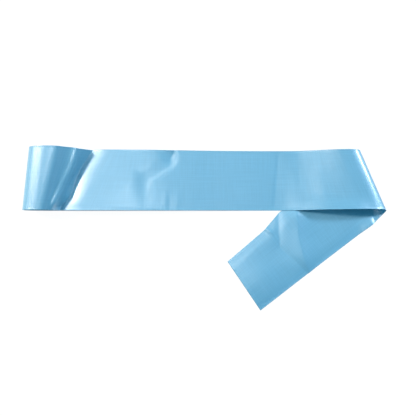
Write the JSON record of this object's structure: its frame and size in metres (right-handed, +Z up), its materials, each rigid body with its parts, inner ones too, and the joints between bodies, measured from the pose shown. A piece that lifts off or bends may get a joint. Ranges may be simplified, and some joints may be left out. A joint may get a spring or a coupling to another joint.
{
  "type": "satin sash",
  "caption": "Satin sash laid out flat: a long ribbon with a soft loop at one end and a slanted fold that sends a short tail out below it.",
  "frame": {"origin": "on the surface that the sash lies on, under the middle of its box", "axes": "+X along the long front, from the loop to the slanted fold; +Y across the front, away from the tail; +Z up off the surface"},
  "size_m": [0.5994, 0.2682, 0.0488],
  "materials": {
    "satin_face": "pale blue satin, shiny warp face",
    "satin_reverse": "pale blue satin, duller reverse face"
  },
  "bodies": {
    "root": {"sash_front": "satin_face", "sash_left_loop": "satin_face", "sash_right_fold": "satin_face", "sash_under": "satin_reverse", "sash_tail": "satin_reverse"}
  },
  "joints": []
}
